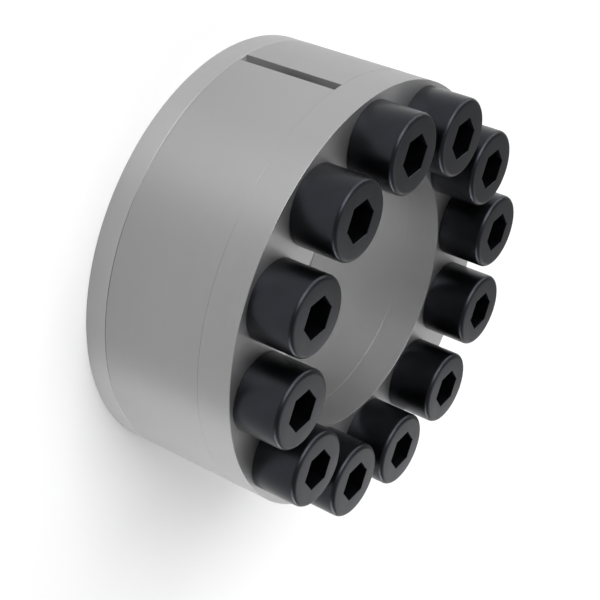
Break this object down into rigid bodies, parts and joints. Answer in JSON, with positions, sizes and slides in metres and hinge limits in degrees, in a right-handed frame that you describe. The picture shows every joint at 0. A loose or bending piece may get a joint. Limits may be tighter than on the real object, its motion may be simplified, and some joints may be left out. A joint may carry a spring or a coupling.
{
  "type": "shaft locking assembly",
  "caption": "Keyless clamping set that locks a hub on a shaft: two slit taper rings between two wedge rings, drawn together by a circle of black socket head screws.",
  "frame": {"origin": "centre of the rear wedge ring's rear face, on the shaft axis, which is the plane it stands on", "axes": "+Z along the shaft axis towards the screw heads, +X through the slits and the first screw"},
  "size_m": [0.073, 0.073, 0.036],
  "materials": {
    "inner_ring_steel": "bore fine turned and bright, satin",
    "outer_ring_steel": "fine turned, satin",
    "thrust_ring_steel": "fine turned, satin",
    "screw_black_oxide": "black oxide, satin"
  },
  "bodies": {
    "rear_thrust_ring": {"rear_thrust_ring": "thrust_ring_steel"},
    "front_thrust_ring": {"front_thrust_ring": "thrust_ring_steel"},
    "outer_ring": {"outer_ring": "outer_ring_steel"},
    "inner_ring": {"inner_ring": "inner_ring_steel"},
    "clamping_screw_01": {"clamping_screw_01": "screw_black_oxide"},
    "clamping_screw_02": {"clamping_screw_02": "screw_black_oxide"},
    "clamping_screw_03": {"clamping_screw_03": "screw_black_oxide"},
    "clamping_screw_04": {"clamping_screw_04": "screw_black_oxide"},
    "clamping_screw_05": {"clamping_screw_05": "screw_black_oxide"},
    "clamping_screw_06": {"clamping_screw_06": "screw_black_oxide"},
    "clamping_screw_07": {"clamping_screw_07": "screw_black_oxide"},
    "clamping_screw_08": {"clamping_screw_08": "screw_black_oxide"},
    "clamping_screw_09": {"clamping_screw_09": "screw_black_oxide"},
    "clamping_screw_10": {"clamping_screw_10": "screw_black_oxide"},
    "clamping_screw_11": {"clamping_screw_11": "screw_black_oxide"},
    "clamping_screw_12": {"clamping_screw_12": "screw_black_oxide"}
  },
  "joints": [
    {"name": "front_thrust_ring_slide", "type": "slide", "parent": "rear_thrust_ring", "child": "front_thrust_ring", "axis": [0, 0, 1], "range_m": [0, 0.003]},
    {"name": "outer_ring_slide", "type": "slide", "parent": "rear_thrust_ring", "child": "outer_ring", "axis": [0, 0, 1], "range_m": [0, 0.0015]},
    {"name": "inner_ring_slide", "type": "slide", "parent": "rear_thrust_ring", "child": "inner_ring", "axis": [0, 0, 1], "range_m": [0, 0.0015]},
    {"name": "clamping_screw_01_turn", "type": "hinge", "parent": "front_thrust_ring", "child": "clamping_screw_01", "pos_m": [0.02925, 0, 0.028], "axis": [0, 0, 1], "range_deg": [0, 864]},
    {"name": "clamping_screw_02_turn", "type": "hinge", "parent": "front_thrust_ring", "child": "clamping_screw_02", "pos_m": [0.02533, 0.01463, 0.028], "axis": [0, 0, 1], "range_deg": [0, 864]},
    {"name": "clamping_screw_03_turn", "type": "hinge", "parent": "front_thrust_ring", "child": "clamping_screw_03", "pos_m": [0.01463, 0.02533, 0.028], "axis": [0, 0, 1], "range_deg": [0, 864]},
    {"name": "clamping_screw_04_turn", "type": "hinge", "parent": "front_thrust_ring", "child": "clamping_screw_04", "pos_m": [0, 0.02925, 0.028], "axis": [0, 0, 1], "range_deg": [0, 864]},
    {"name": "clamping_screw_05_turn", "type": "hinge", "parent": "front_thrust_ring", "child": "clamping_screw_05", "pos_m": [-0.01463, 0.02533, 0.028], "axis": [0, 0, 1], "range_deg": [0, 864]},
    {"name": "clamping_screw_06_turn", "type": "hinge", "parent": "front_thrust_ring", "child": "clamping_screw_06", "pos_m": [-0.02533, 0.01463, 0.028], "axis": [0, 0, 1], "range_deg": [0, 864]},
    {"name": "clamping_screw_07_turn", "type": "hinge", "parent": "front_thrust_ring", "child": "clamping_screw_07", "pos_m": [-0.02925, 0, 0.028], "axis": [0, 0, 1], "range_deg": [0, 864]},
    {"name": "clamping_screw_08_turn", "type": "hinge", "parent": "front_thrust_ring", "child": "clamping_screw_08", "pos_m": [-0.02533, -0.01463, 0.028], "axis": [0, 0, 1], "range_deg": [0, 864]},
    {"name": "clamping_screw_09_turn", "type": "hinge", "parent": "front_thrust_ring", "child": "clamping_screw_09", "pos_m": [-0.01463, -0.02533, 0.028], "axis": [0, 0, 1], "range_deg": [0, 864]},
    {"name": "clamping_screw_10_turn", "type": "hinge", "parent": "front_thrust_ring", "child": "clamping_screw_10", "pos_m": [0, -0.02925, 0.028], "axis": [0, 0, 1], "range_deg": [0, 864]},
    {"name": "clamping_screw_11_turn", "type": "hinge", "parent": "front_thrust_ring", "child": "clamping_screw_11", "pos_m": [0.01463, -0.02533, 0.028], "axis": [0, 0, 1], "range_deg": [0, 864]},
    {"name": "clamping_screw_12_turn", "type": "hinge", "parent": "front_thrust_ring", "child": "clamping_screw_12", "pos_m": [0.02533, -0.01463, 0.028], "axis": [0, 0, 1], "range_deg": [0, 864]}
  ],
  "couplings": [
    {"joint": "outer_ring_slide", "follows": "front_thrust_ring_slide", "ratio": 0.5},
    {"joint": "inner_ring_slide", "follows": "front_thrust_ring_slide", "ratio": 0.5},
    {"joint": "clamping_screw_01_turn", "follows": "front_thrust_ring_slide", "rad_per_m": 5026.5},
    {"joint": "clamping_screw_02_turn", "follows": "front_thrust_ring_slide", "rad_per_m": 5026.5},
    {"joint": "clamping_screw_03_turn", "follows": "front_thrust_ring_slide", "rad_per_m": 5026.5},
    {"joint": "clamping_screw_04_turn", "follows": "front_thrust_ring_slide", "rad_per_m": 5026.5},
    {"joint": "clamping_screw_05_turn", "follows": "front_thrust_ring_slide", "rad_per_m": 5026.5},
    {"joint": "clamping_screw_06_turn", "follows": "front_thrust_ring_slide", "rad_per_m": 5026.5},
    {"joint": "clamping_screw_07_turn", "follows": "front_thrust_ring_slide", "rad_per_m": 5026.5},
    {"joint": "clamping_screw_08_turn", "follows": "front_thrust_ring_slide", "rad_per_m": 5026.5},
    {"joint": "clamping_screw_09_turn", "follows": "front_thrust_ring_slide", "rad_per_m": 5026.5},
    {"joint": "clamping_screw_10_turn", "follows": "front_thrust_ring_slide", "rad_per_m": 5026.5},
    {"joint": "clamping_screw_11_turn", "follows": "front_thrust_ring_slide", "rad_per_m": 5026.5},
    {"joint": "clamping_screw_12_turn", "follows": "front_thrust_ring_slide", "rad_per_m": 5026.5}
  ]
}
